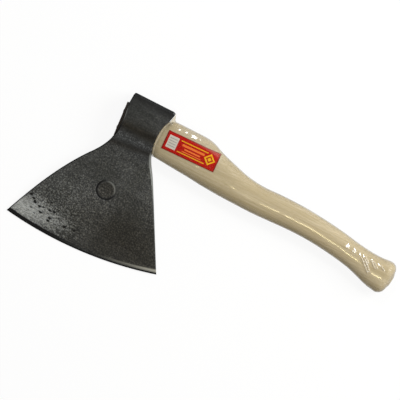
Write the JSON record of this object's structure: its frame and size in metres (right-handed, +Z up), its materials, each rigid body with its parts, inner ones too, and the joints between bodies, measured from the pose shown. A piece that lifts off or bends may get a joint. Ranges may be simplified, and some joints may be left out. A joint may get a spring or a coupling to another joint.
{
  "type": "hatchet",
  "caption": "Broad-bladed hatchet: forged steel head with eye and flat poll, wedged on a curved birch handle with a knob, sleeved in clear shrink film over a paper label.",
  "frame": {"origin": "centre of the footprint, on the bench that the hatchet lies on", "axes": "+X along the handle from the head to the knob, +Y from the cutting edge to the poll, +Z up from the bench"},
  "size_m": [0.4336, 0.1939, 0.0348],
  "materials": {
    "forged_steel": "hammer-forged black scale, ground bright near the toe and at the edge bevel",
    "birch": "sanded pale birch, unvarnished",
    "stained_wood": "dark end grain, dipped",
    "wedge_steel": "driven mild steel, dulled",
    "label_paper": "printed red paper",
    "clear_film": "clear heat-shrunk film"
  },
  "bodies": {
    "root": {"axe_head": "forged_steel", "handle": "birch", "wood_wedge": "stained_wood", "steel_wedge_upper": "wedge_steel", "steel_wedge_lower": "wedge_steel", "label": "label_paper", "shrink_film": "clear_film"}
  },
  "joints": []
}
